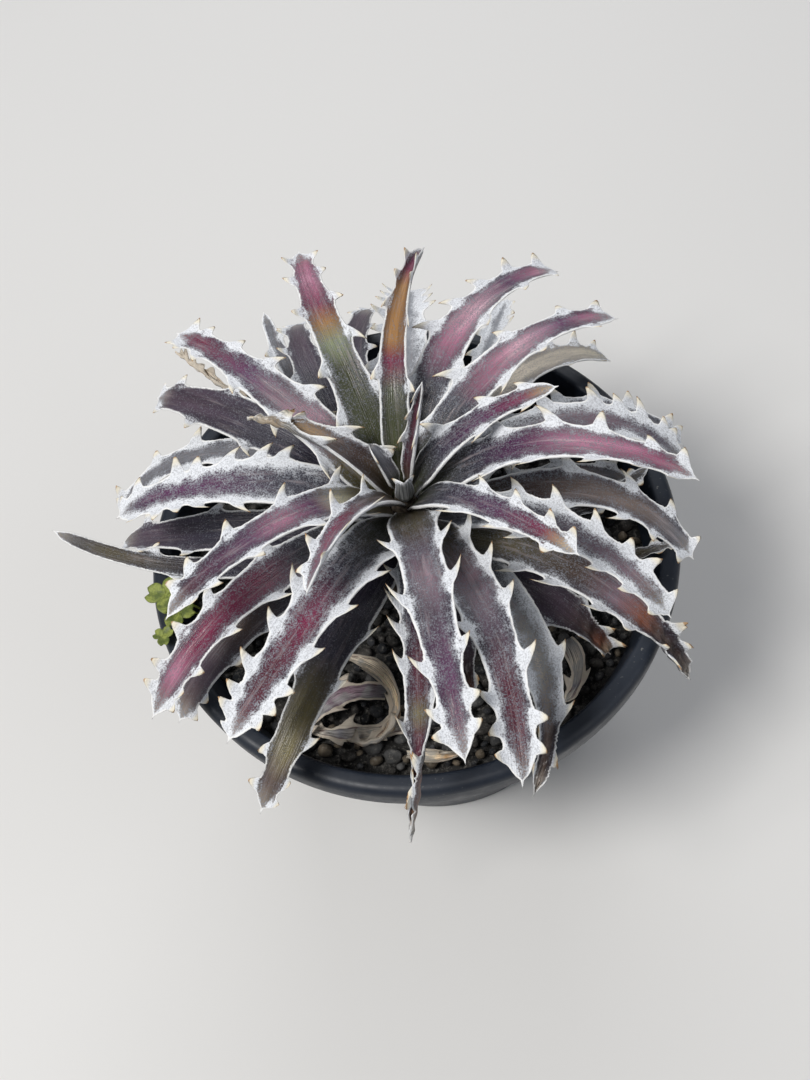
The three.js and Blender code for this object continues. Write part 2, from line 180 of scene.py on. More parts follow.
CLOVER_ROOT = (-67, -8)
CLOVER_LEAVES = [
    # x, y, height above the rim, turn in degrees, length of a lobe
    (-80, -5.5, 4, 40, 6.5),
    (-77, -11.5, 2, 5, 5.5),
    (-82, -19, 3, 30, 3.5),
]

# Colours of leaf tissue, as screen values from 0 to 255.
TISSUE = dict(
    moss=(68, 72, 44), peat=(84, 75, 50), slate=(48, 44, 59), plum=(88, 38, 82), wine=(122, 24, 67),
    garnet=(86, 30, 48), mauve=(136, 110, 122), rose=(178, 114, 141), dusk=(86, 70, 84),
    blush=(206, 162, 178), steel=(78, 80, 90), ash=(118, 117, 122), pearl=(160, 164, 172),
    bone=(208, 198, 182), lichen=(150, 158, 124), cream=(196, 190, 162), olive=(114, 104, 64),
    amber=(170, 126, 76), tan=(182, 150, 110), straw=(222, 204, 174), rust=(132, 72, 44),
    bark=(80, 62, 56), taupe=(124, 108, 100),
)

# look: (scurf from 0, bare, to 1, white all over; the midrib's colours and where along it each sits)
LOOKS = dict(
    dark_red=(0.2, "0 peat, .3 garnet, .8 garnet, 1 bark"),
    crown=(0.12, "0 moss, .4 ash, 1 pearl"),
    ash=(0.5, "0 steel, .5 ash, 1 ash"),
    plum_tan_tip=(0.3, "0 moss, .3 slate, .6 plum, .82 wine, .92 tan, 1 straw"),
    wine_brown=(0.35, "0 peat, .35 bark, .6 wine, 1 mauve"),
    tan_half=(0.2, "0 peat, .35 bark, .5 taupe, .7 tan, 1 straw"),
    orange_middle=(0.15, "0 moss, .35 moss, .45 wine, .52 amber, .75 amber, .84 wine, 1 plum"),
    mauve=(0.35, "0 peat, .2 peat, .35 dusk, .46 mauve, .6 dusk, .78 plum, 1 garnet"),
    rose_end=(0.3, "0 moss, .3 slate, .45 plum, .65 rose, .8 rose, 1 wine"),
    cream_rose=(0.25, "0 peat, .16 olive, .3 cream, .4 plum, .52 rose, .65 plum, 1 bark"),
    rose=(0.3, "0 moss, .35 slate, .5 rose, .62 blush, .78 plum, .9 rose, 1 mauve"),
    green_orange=(0.2, "0 moss, .45 moss, .54 lichen, .62 amber, .7 wine, .82 rose, 1 wine"),
    frosted_wine=(0.5, "0 moss, .4 slate, .6 wine, .78 garnet, 1 garnet"),
    plum_rose=(0.35, "0 moss, .22 olive, .36 blush, .5 mauve, .64 plum, .85 wine, 1 wine"),
    mauve_wine=(0.4, "0 moss, .2 peat, .4 mauve, .58 dusk, .76 garnet, 1 garnet"),
    silver_mauve=(0.75, "0 steel, .35 ash, .6 mauve, .85 dusk, 1 ash"),
    silver_dusk=(0.65, "0 steel, .4 slate, .6 dusk, .8 mauve, .92 taupe, 1 bone"),
    silver_stripe=(0.7, "0 steel, .4 slate, .6 plum, .85 plum, 1 steel"),
    wine=(0.22, "0 moss, .35 slate, .5 wine, .75 wine, .85 rose, 1 bark"),
    dry_ended=(
        0.25,
        "0 steel, .35 slate, .5 garnet, .6 garnet, .66 olive, "
        ".72 garnet, .77 garnet, .82 rust, .9 rust, .95 tan, 1 bone",
    ),
    charcoal=(0.15, "0 slate, .5 slate, .8 peat, 1 steel"),
    silver=(1.0, "0 steel, .3 ash, .6 pearl, 1 pearl"),
    slate=(0.12, "0 slate, .6 slate, .9 dusk, 1 slate"),
    olive_middle=(0.1, "0 slate, .5 slate, .66 olive, .8 olive, .9 bark, 1 bark"),
    olive_streak=(0.25, "0 moss, .3 peat, .52 bark, .62 mauve, .72 rust, .79 bark, 1 bark"),
    silver_tan=(0.2, "0 peat, .3 ash, .5 bone, .8 bone, 1 cream"),
    silver_bark=(1.0, "0 steel, .35 ash, .6 bone, .8 taupe, .9 bark, 1 taupe"),
    dusky=(0.15, "0 slate, .5 slate, .8 dusk, 1 dusk"),
    taupe=(0.28, "0 moss, .35 bark, .5 taupe, .75 taupe, .9 ash, 1 taupe"),
    bark=(0.12, "0 moss, .4 slate, .6 bark, .8 dusk, 1 taupe"),
    rusty_end=(0.12, "0 moss, .3 slate, .65 dusk, .84 bark, .92 rust, 1 tan"),
    straw=(0.15, "0 bone, .45 straw, .6 tan, .8 bone, 1 tan"),
    faded=(0.2, "0 ash, .35 mauve, .7 ash, 1 bone"),
    husk=(0.15, "0 ash, .4 bone, .7 ash, 1 bone"),
    rust=(0.05, "0 rust, .6 rust, .85 tan, 1 bark"),
)


# ---- meshes ----


def linear(colour):
    """A colour of 0 to 255 screen values as linear light."""
    shares = np.asarray(colour, float) / 255
    return np.where(shares <= 0.04045, shares / 12.92, ((shares + 0.055) / 1.055) ** 2.4)


def screen(colour):
    return tuple(float(c) for c in linear(colour))


def smoothstep(value, low, high):
    share = np.clip((value - low) / (high - low), 0, 1)
    return share * share * (3 - 2 * share)


# Type of an attribute and name of its values, by how many of them a point has.
ATTRIBUTES = {1: ("FLOAT", "value"), 3: ("FLOAT_VECTOR", "vector"), 4: ("FLOAT_COLOR", "color")}


def mesh_object(name, points, faces, material, attributes=None):
    """A smooth-shaded object from points in millimetres. attributes: values of the points by name."""
    mesh = bpy.data.meshes.new(name)
    mesh.from_pydata([tuple(p) for p in np.asarray(points) * MM], [], faces)
    mesh.validate()
    mesh.shade_smooth()
    for label, values in (attributes or {}).items():
        kind, key = ATTRIBUTES[values.shape[1]]
        layer = mesh.attributes.new(label, kind, "POINT")
        layer.data.foreach_set(key, values.astype(np.float32).ravel())
    piece = bpy.data.objects.new(name, mesh)
    bpy.context.scene.collection.objects.link(piece)
    piece.data.materials.append(material)
    return piece


def settle(piece, slot, *nodes):
    """The piece belongs to the object's one body and stands for these CAD nodes."""
    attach(piece, "root")
    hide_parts(*nodes)


# ---- materials ----


class Shader:
    """Builds a node material with short calls. An argument is a socket or a plain value."""

    def __init__(self, name):
        self.material = bpy.data.materials.new(name)
        self.material.use_nodes = True
        self.tree = self.material.node_tree

    def put(self, socket, value):
        if isinstance(value, bpy.types.NodeSocket):
            self.tree.links.new(value, socket)
        elif isinstance(value, tuple) and len(value) == 3 and socket.type == "RGBA":
            socket.default_value = (*value, 1.0)
        else:
            socket.default_value = value

    def node(self, kind, inputs=(), **settings):
        """A node with these settings and values for its inputs, by name or number."""
        made = self.tree.nodes.new("ShaderNode" + kind)
        for key, value in settings.items():
            setattr(made, key, value)
        for key, value in dict(inputs).items():
            self.put(made.inputs[key], value)
        return made

    def attribute(self, name):
        return self.node("Attribute", attribute_name=name)

    def position(self):
        return self.node("TexCoord").outputs["Object"]

    def math(self, operation, a, b=0.0, c=0.0):
        return self.node("Math", enumerate((a, b, c)), operation=operation).outputs[0]

    def times(self, a, b):
        return self.math("MULTIPLY", a, b)

    def times_plus(self, a, b, c):
        return self.math("MULTIPLY_ADD", a, b, c)

    def separate(self, vector):
        return self.node("SeparateXYZ", {0: vector}).outputs

    def combine(self, x, y, z):
        return self.node("CombineXYZ", enumerate((x, y, z))).outputs[0]

    def noise(self, vector, scale, detail=2.0, roughness=0.5):
        """scale: the cells of the noise in a millimetre on leaves, in a metre on everything else."""
        inputs = {"Vector": vector, "Scale": scale, "Detail": detail, "Roughness": roughness}
        return self.node("TexNoise", inputs).outputs["Fac"]

    def streaks(self, place, along, across, detail=2.0, roughness=0.5):
        """Noise that is drawn out along a leaf. along and across: its cells in a millimetre."""
        x, y, layer = place
        stretched = self.combine(self.times(x, along), self.times(y, across), layer)
        return self.noise(stretched, 1.0, detail, roughness)

    def cells(self, vector, scale):
        return self.node("TexVoronoi", {"Vector": vector, "Scale": scale}).outputs["Distance"]

    def remap(self, value, low, high, to_low=0.0, to_high=1.0):
        inputs = enumerate((value, low, high, to_low, to_high))
        return self.node("MapRange", inputs, interpolation_type="SMOOTHSTEP").outputs[0]

    def mix(self, share, a, b):
        inputs = {"Factor": share, 6: a, 7: b}
        return self.node("Mix", inputs, data_type="RGBA", clamp_factor=True).outputs[2]

    def tones(self, share, pair):
        """A colour between the two screen colours of a pair."""
        return self.mix(share, screen(pair[0]), screen(pair[1]))

    def scale_colour(self, colour, factor):
        return self.node("VectorMath", {0: colour, "Scale": factor}, operation="SCALE").outputs[0]

    def bump(self, height, distance, strength=1.0):
        inputs = {"Height": height, "Distance": distance * MM, "Strength": strength}
        return self.node("Bump", inputs).outputs["Normal"]

    def finish(self, colour, roughness, normal=None, specular=0.5):
        inputs = {"Base Color": colour, "Roughness": roughness, "Specular IOR Level": specular}
        if normal is not None:
            inputs["Normal"] = normal
        for key, value in inputs.items():
            self.put(self.tree.nodes["Principled BSDF"].inputs[key], value)
        return self.material


# Colours of the finishes, as screen values. A pair is the darkest and the lightest tone.
SCURF_TONES = ((118, 121, 130), (232, 235, 240))
UNDERSIDE_TONES = ((86, 88, 86), (182, 184, 182))
# painted sheen: the pale colour of the waxy highlights that are painted in streaks onto the leaves
PAINTED_SHEEN = (196, 182, 184)
MARGIN_WHITE = (250, 250, 249)
SPINE_CREAM = (240, 232, 212)
SPINE_TIP = (196, 158, 116)
MOULD = (236, 236, 234)
DRY_STAIN = (92, 44, 38)
DRY_MARGIN = (232, 220, 202)
PLASTIC_TONES = ((21, 27, 37), (35, 43, 56))
PLASTIC_DUST = (150, 150, 146)
STONE_DUST = (150, 146, 138)
SOIL_TONES = ((30, 24, 19), (84, 66, 48))
STEM_TONES = ((60, 50, 40), (140, 128, 112))
CLOVER_TONES = ((88, 102, 40), (142, 152, 72))
FLOOR_TONES = ((222, 221, 219), (228, 227, 225))

FACE_LAYER = 9.0  # sets the noise of a leaf's two faces apart


def leaf_material():
    """Waxy tissue under white scurf that thickens towards the margins, with cream spines.

    depth is in millimetres from the margin, beyond runs from 0 on the blade to 1 at a spine's tip.
    """
    s = Shader("leaf_skin")
    x, y, beyond = s.separate(s.attribute("leaf_place").outputs["Vector"])[:3]
    depth, patch, face = s.separate(s.attribute("leaf_edge").outputs["Vector"])[:3]
    outline = s.attribute("leaf_outline").outputs["Fac"]
    flesh = s.attribute("flesh")
    tissue, scurf = flesh.outputs["Color"], flesh.outputs["Alpha"]
    flat = s.combine(x, y, s.times(face, FACE_LAYER))
    grain = s.noise(flat, 2.5, 2.0, 0.55)
    clumps = s.noise(flat, 0.3)
    place = (x, y, face)
    bands = s.streaks(place, 0.05, 0.32, 2.0, 0.55)
    stria = s.streaks(place, 0.03, 2.2, 1.0)
    streaks = s.streaks(place, 0.06, 0.6, 3.0, 0.65)
    underside = s.remap(face, 0.2, -0.2)

    # The scurf: thicker towards the margin, in clumps, and in a patch at each spine's foot.
    towards_edge = s.remap(depth, 6.0, 0.3, 0.42, 1.0)
    band_width = s.times_plus(scurf, 1.6, 0.6)
    margin = s.times(s.remap(depth, band_width, 0.0), s.remap(clumps, 0.3, 0.6, 0.15, 0.7))
    bare = s.remap(scurf, 0.0, 0.25, 0.3, 1.0)
    patch = s.times(patch, s.remap(scurf, 0.0, 0.5, 0.5, 1.0))
    density = s.times_plus(scurf, towards_edge, s.math("ADD", margin, patch))
    density = s.times_plus(s.math("SUBTRACT", clumps, 0.5), 0.7, density)
    density = s.times(density, bare)
    density = s.times_plus(underside, 0.1, density)
    density = s.math("MAXIMUM", density, s.remap(beyond, 0.08, 0.45, 0.0, 1.5))
    threshold = s.times_plus(density, -0.3, s.times_plus(bare, -0.13, 0.77))
    frost = s.remap(s.math("SUBTRACT", grain, threshold), -0.16, 0.12)
    frost = s.math("MAXIMUM", frost, s.remap(density, 0.3, 1.3, 0.0, 0.5))

    # The tissue under it, banded and streaked along the leaf, with pale streaks of painted sheen on it, and
    # grey on the underside.
    skin = s.scale_colour(tissue, s.times_plus(stria, 0.35, s.times_plus(bands, 1.2, 0.06)))
    # Painted sheen: pale highlight streaks mixed into the tissue's colour, weaker where the scurf is thin.
    painted_sheen = s.times(s.remap(streaks, 0.5, 0.76, 0.0, 0.45), s.remap(scurf, 0.0, 0.25, 0.15, 1.0))
    skin = s.mix(painted_sheen, skin, screen(PAINTED_SHEEN))
    back = s.tones(s.remap(stria, 0.42, 0.6), UNDERSIDE_TONES)
    skin = s.mix(s.times(underside, s.remap(scurf, 0.0, 0.06, 0.1, 0.75)), skin, back)

    # The two together, then the white line of the margin and the horn of the spines.
    powder = s.tones(s.remap(density, 0.15, 1.1), SCURF_TONES)
    powder = s.scale_colour(powder, s.remap(grain, 0.32, 0.62, 0.76, 1.12))
    colour = s.mix(s.times(frost, 0.94), skin, powder)
    rim = s.times_plus(s.math("SUBTRACT", grain, 0.5), 0.9, outline)
    rim = s.times(s.remap(rim, 0.8, 0.25), s.remap(scurf, 0.0, 0.12, 0.5, 1.0))
    colour = s.mix(rim, colour, screen(MARGIN_WHITE))
    colour = s.mix(s.remap(beyond, 0.45, 0.95), colour, screen(SPINE_CREAM))
    colour = s.mix(s.remap(beyond, 0.97, 1.06), colour, screen(SPINE_TIP))
    roughness = s.times_plus(frost, 0.42, 0.32)
    height = s.times_plus(frost, 0.5, stria)
    return s.finish(colour, roughness, s.bump(height, 0.4, 0.6))


def dry_leaf_material():
    """Papery dead tissue with long fibres and a little grey mould."""
    s = Shader("dry_leaf_skin")
    x, y, _ = s.separate(s.attribute("leaf_place").outputs["Vector"])[:3]
    depth, _, face = s.separate(s.attribute("leaf_edge").outputs["Vector"])[:3]
    tissue = s.attribute("flesh").outputs["Color"]
    layer = s.times(face, FACE_LAYER)
    fibres = s.streaks((x, y, layer), 0.1, 4.5, 3.0, 0.7)
    patches = s.noise(s.combine(x, y, layer), 0.2, 3.0)
    skin = s.scale_colour(tissue, s.remap(fibres, 0.34, 0.58, 0.3, 1.9))
    mould = s.scale_colour(screen(MOULD), fibres)
    skin = s.mix(s.remap(patches, 0.48, 0.62, 0.0, 0.7), skin, mould)
    stain = s.times(s.remap(patches, 0.5, 0.38), s.remap(depth, 2.2, 0.6))
    skin = s.mix(s.times(stain, 0.7), skin, screen(DRY_STAIN))
    colour = s.mix(s.remap(depth, 0.8, 0.1, 0.0, 0.85), skin, screen(DRY_MARGIN))
    return s.finish(colour, s.remap(patches, 0.3, 0.7, 0.6, 0.9), s.bump(fibres, 0.6, 1.0))


def pot_material():
    """Black moulded plastic, a little scuffed and dusty."""
    s = Shader("pot_plastic")
    place = s.position()
    mottle = s.noise(place, 60.0, 4.0, 0.6)
    scuffs = s.noise(place, 420.0, 3.0, 0.7)
    dust = s.remap(s.noise(place, 900.0), 0.66, 0.76)
    dust = s.times(dust, s.remap(mottle, 0.45, 0.7))
    colour = s.tones(mottle, PLASTIC_TONES)
    colour = s.mix(s.times(dust, 0.5), colour, screen(PLASTIC_DUST))
    roughness = s.remap(s.times_plus(scuffs, 0.5, mottle), 0.4, 1.0, 0.34, 0.58)
    return s.finish(colour, roughness, s.bump(scuffs, 0.06, 0.5))


def gravel_material():
    """Dark volcanic grit with pale dust on it; every stone has its own tint."""
    s = Shader("gravel")
    place = s.position()
    tint = s.attribute("tint").outputs["Color"]
    pits = s.noise(place, 900.0, 4.0, 0.7)
    mottle = s.noise(place, 260.0, 3.0)
    colour = s.scale_colour(tint, s.remap(mottle, 0.3, 0.7, 0.55, 1.3))
    facing_up = s.separate(s.node("NewGeometry").outputs["Normal"])[2]
    dust = s.times(s.remap(pits, 0.5, 0.68), s.remap(facing_up, 0.1, 0.9))
    colour = s.mix(s.times(dust, 0.4), colour, screen(STONE_DUST))
    return s.finish(colour, s.remap(pits, 0.3, 0.7, 0.95, 0.7), s.bump(pits, 0.4, 0.8))


def soil_material():
    """Coarse dark peat and bark."""
    s = Shader("potting_mix")
    place = s.position()
    crumbs = s.cells(place, 420.0)
    mottle = s.noise(place, 300.0, 4.0, 0.7)
    height = s.math("SUBTRACT", mottle, crumbs)
    return s.finish(s.tones(mottle, SOIL_TONES), 0.95, s.bump(height, 1.2, 0.9))


def mottled_material(name, pair, blotches, fibres, shading, roughness, bump):
    """Blotches of two tones under finer fibres. The two noises are given as scale, detail, roughness."""
    s = Shader(name)
    place = s.position()
    blotches = s.noise(place, *blotches)
    fibres = s.noise(place, *fibres)
    colour = s.tones(s.remap(blotches, 0.35, 0.65), pair)
    colour = s.scale_colour(colour, s.remap(fibres, 0.3, 0.7, *shading))
    return s.finish(colour, s.remap(blotches, 0.3, 0.7, *roughness), s.bump(fibres, *bump))


def stem_material():
    """Old leaf bases packed around the stem."""
    noises = (180.0, 4.0, 0.6), (700.0, 3.0, 0.7)
    return mottled_material("stem_scales", STEM_TONES, *noises, (0.6, 1.2), (0.85, 0.85), (0.3, 0.8))


def clover_material():
    """Soft yellow-green leaflets with darker blotches and fine veins."""
    noises = (500.0, 3.0, 0.5), (1800.0, 2.0, 0.7)
    return mottled_material("clover_leaf", CLOVER_TONES, *noises, (0.8, 1.15), (0.45, 0.65), (0.15, 0.5))


def floor_material():
    s = Shader("pale_floor")
    cloud = s.noise(s.position(), 3.0, 3.0)
    colour = s.tones(cloud, FLOOR_TONES)
    return s.finish(colour, s.remap(cloud, 0.3, 0.7, 0.55, 0.65), specular=0.3)


# ---- leaf shapes ----

CROSS_GAPS = (0.16, 1.3)  # least and most between two cross-sections
SECTION_OFFSETS = (0.25, 0.6, 1.1, 1.8, 2.8, 4.2)  # where they lie on both sides of a spine
BLADE_TOP = (-1, -0.86, -0.66, -0.44, -0.22, 0, 0.22, 0.44, 0.66, 0.86, 1)
BLADE_BOTTOM = (1, 0.5, 0, -0.5, -1)
SPINE_COLUMNS = (0.3, 0.56, 0.8)
# Around a cross-section: place across the blade, share of the spine, and face (1 is the upper).
AROUND = (
    (-1, 1, 0), *[(-1, q, 1) for q in reversed(SPINE_COLUMNS)], *[(v, 0, 1) for v in BLADE_TOP],
    *[(1, q, 1) for q in SPINE_COLUMNS], (1, 1, 0), (1, SPINE_COLUMNS[0], -1),
    *[(v, 0, -1) for v in BLADE_BOTTOM], (-1, SPINE_COLUMNS[0], -1),
)
EDGE_ROUNDING = 0.35  # width of the rounded margin
RAGGEDNESS = 0.22  # how far the margin strays in and out
DRIED_RAGGEDNESS = 4  # and how many times that a dried tip adds

SPINE_LENGTH = (2.3, 0.18)  # of a spine: a fixed part, and a share of the leaf's width
SPINE_TAPER = (1.06, 0.4)  # its factor at the leaf's base, and what is lost up to the tip
SPINE_REACH = (0.38, 0.46)  # half its foot, back and ahead, as a share of its length
SPINE_LEAST = 5.0  # a shorter one has the foot of this
SPINE_HOLLOW = 1.3  # how hollow its flanks are
SPINE_BLUNTNESS = 2.4  # above 1 rounds its tip
SPINE_HOOK = 0.95  # how far a spine of hook 1 leans over, as a share of its length
SPINE_BEND = 2.2  # 1 leans it over evenly, more bends it towards the tip
HOOKS = ((0.82, -0.5, 0.6), (0.65, -0.8, 0.1), (-1, -1.0, -0.4))  # beyond a share: least and most
WEB_REACH = (6.0, 7.5)  # how far its low web runs along the margin, back and ahead
WEB_SHARE = 0.4  # height of the web as a share of the spine
RANDOM_SPINES = (0.1, 0.97)  # where random spines stand, as shares of the leaf's length
CROWDED_FROM = 0.82  # the share beyond which they stand close together
SPACING, CLOSE_SPACING = (10, 18), (4, 7)

FROST_REACH = (5.0, 7.5)  # how far the white patch at a spine runs along the margin
FROST_SPINE = 3.5  # length of a spine that has the whole patch
PATCH_DEPTH = (-3.5, 0.5)  # where the patch fades in, counted outwards from the margin
FROST_WIDTH = 16.0  # leaf width that the material's depths are meant for

BASE_WIDTH = (0.58, 0.42)  # share of the full width at the stem, and what is gained after it
NARROWING = 0.66  # share of the width that is lost towards the tip
PLAIN_CURL = (0.5, 0.35)  # how far half a blade bends up, at its base and tip, in radians
CURLS = dict(
    dark_red=(1.1, 1.5), crown=(0.9, 1.0), orange_middle=(0.6, 1.7), tan_half=(0.7, 1.9),
    wine_brown=(0.6, 0.9), dry_ended=(0.4, 1.3), straw=(1.3, 2.0), rust=(0.8, 0.4),
)
# Share of its width that a dried tip has lost, and where along the leaf it sets in.
SHRIVELLED = dict(dry_ended=0.4, rusty_end=0.3, tan_half=0.35, silver_bark=0.25, olive_streak=0.25)
DRIED_FROM, DRIED_TO = 0.66, 0.84
DRIED_CURL = 0.8  # bend that a dried tip adds, in radians
DRIED_CREASES = 0.8  # height of its creases
WITHERED_CREASES = 0.5  # and of those of a wholly dry leaf
WAVE = 0.35  # how far a blade waves up and down
# Sway of the width: a share of it, and radians in a millimetre.
SWAY, WITHERED_SWAY = (0.05, 0.16), (0.22, 0.3)


class Curve:
    """A leaf's midrib: points and directions at any share of its length."""

    def __init__(self, start, heading, length, rise, fall, sweep, twist):
        self.share = np.linspace(0, 1, 200)
        turn = np.radians(heading + sweep * self.share**SWEEP_POWER)
        slope = np.radians(rise + (fall - rise) * self.share)
        flat = np.cos(slope)
        along = np.stack([flat * np.cos(turn), flat * np.sin(turn), np.sin(slope)], axis=1)
        side = np.stack([-np.sin(turn), np.cos(turn), 0 * turn], axis=1)
        up = np.cross(along, side)
        roll = np.radians(twist * self.share**SWEEP_POWER)[:, None]
        steps = (along[1:] + along[:-1]) / 2 * length / (len(self.share) - 1)
        self.points = np.asarray(start, float) + np.vstack([np.zeros(3), np.cumsum(steps, axis=0)])
        self.along = along
        self.side = side * np.cos(roll) + up * np.sin(roll)
        self.up = up * np.cos(roll) - side * np.sin(roll)

    def at(self, share, rows):
        return np.stack([np.interp(share, self.share, rows[:, k]) for k in range(3)], axis=1)


def random_tips(draw, length):
    """Places of the spines' tips along a margin, closer together near the leaf's tip."""
    tips = []
    place = length * RANDOM_SPINES[0] + draw.uniform(0, 12)
    while place < length * RANDOM_SPINES[1]:
        tips.append(place)
        place += draw.uniform(*(CLOSE_SPACING if place > length * CROWDED_FROM else SPACING))
    return tips


def grow_spines(draw, tips, length, width):
    """The spines of one margin: rows of (root's place along the leaf, length, hook, lift)."""
    spines = []
    for tip in tips:
        share = tip / length
        tall = (SPINE_LENGTH[0] + SPINE_LENGTH[1] * width) * (SPINE_TAPER[0] - SPINE_TAPER[1] * share**2)
        tall *= draw.uniform(0.85, 1.15)
        least, most = next((least, most) for beyond, least, most in HOOKS if share > beyond)
        hook = draw.uniform(least, most)
        root = min(tip - SPINE_HOOK * hook * tall, length - 1)
        spines.append((root, tall, hook, draw.uniform(-0.25, 0.45)))
    return np.array(spines)


def cross_sections(length, spines):
    """Places along the leaf for its cross-sections, close together at each spine."""
    narrowest, widest = CROSS_GAPS
    places = [0.0, length]
    for place in spines:
        places.append(place)
        for offset in SECTION_OFFSETS:
            places += [place - offset, place + offset]
    places = sorted(p for p in places if 0 <= p <= length)
    tips = set(np.round(spines, 6))
    kept = [places[0]]
    for place in places[1:]:
        if place - kept[-1] < narrowest:
            if round(place, 6) in tips or place == length:
                kept[-1] = place
            continue
        missing = int((place - kept[-1]) // widest)
        kept += list(np.linspace(kept[-1], place, missing + 2)[1:-1])
        kept.append(place)
    return np.array(kept)


def margin_profile(places, spines):
    """Height and frost of the margin, and the hook, lift and length of the nearest spine."""
    height, frost, hook, lift = (np.zeros_like(places) for _ in range(4))
    tall = np.ones_like(places)
    for place, length, its_hook, its_lift in spines:
        away = places - place

        def fade(reach, power, bluntness=1.0):
            nearness = 1 - (np.abs(away) / np.where(away < 0, *reach)) ** bluntness
            return np.clip(nearness, 0, 1) ** power

        foot = [max(length, SPINE_LEAST) * share for share in SPINE_REACH]
        sharp = fade(foot, SPINE_HOLLOW, SPINE_BLUNTNESS)
        its_height = length * (WEB_SHARE * fade(WEB_REACH, 2.0) + (1 - WEB_SHARE) * sharp)
        nearer = its_height > height
        height[nearer] = its_height[nearer]
        hook[nearer] = its_hook
        lift[nearer] = its_lift
        tall[nearer] = length
        frost = np.maximum(frost, fade(FROST_REACH, 1.5) * min(1.0, length / FROST_SPINE))
    return height, frost, hook, lift, tall


def leaf_colours(look, share, across):
    """Colour of the tissue, duller towards the margins, with the amount of scurf as its alpha."""
    scurf, stops = LOOKS[look]
    places, tones = zip(*(stop.split() for stop in stops.split(", ")))
    places = [float(place) for place in places]
    tones = np.array([linear(TISSUE[tone]) for tone in tones])
    centre = np.stack([np.interp(share, places, tones[:, k]) for k in range(3)], axis=1)
    dull = linear(TISSUE["slate"])
    fade = (0.7 if scurf > 0.2 else 0.4) * smoothstep(np.abs(across), 0.25, 0.95)
    fade = (fade * (0.3 + 0.7 * smoothstep(share, 0.1, 0.45)))[:, None]
    colour = centre * (1 - fade) + dull * fade
    worn = smoothstep(share, 0.88, 1)
    pale = 0.5 * worn[:, None]
    colour = colour * (1 - pale) + linear(TISSUE["bone"]) * pale
    powder = scurf * (1.45 - share) * (0.25 + 0.75 * smoothstep(share, 0.05, 0.45))
    powder = powder + 0.35 * worn * min(1, scurf * 4)
    if look in SHRIVELLED:
        powder = powder * (1 - 0.9 * smoothstep(share, DRIED_FROM, DRIED_TO))
    return np.hstack([colour, powder[:, None]])


def tube_faces(rings, around, inside_out=False):
    """Faces between rings of points that follow each other, and a cap on the first and the last."""
    faces = []
    for here in range(0, (rings - 1) * around, around):
        there = here + around
        for j in range(around):
            k = (j + 1) % around
            quad = (here + j, here + k, there + k, there + j)
            faces.append(quad[:1] + quad[:0:-1] if inside_out else quad)
    first = tuple(range(around))
    last = tuple(range((rings - 1) * around, rings * around))
    faces += [first, last[::-1]] if inside_out else [first[::-1], last]
    return faces


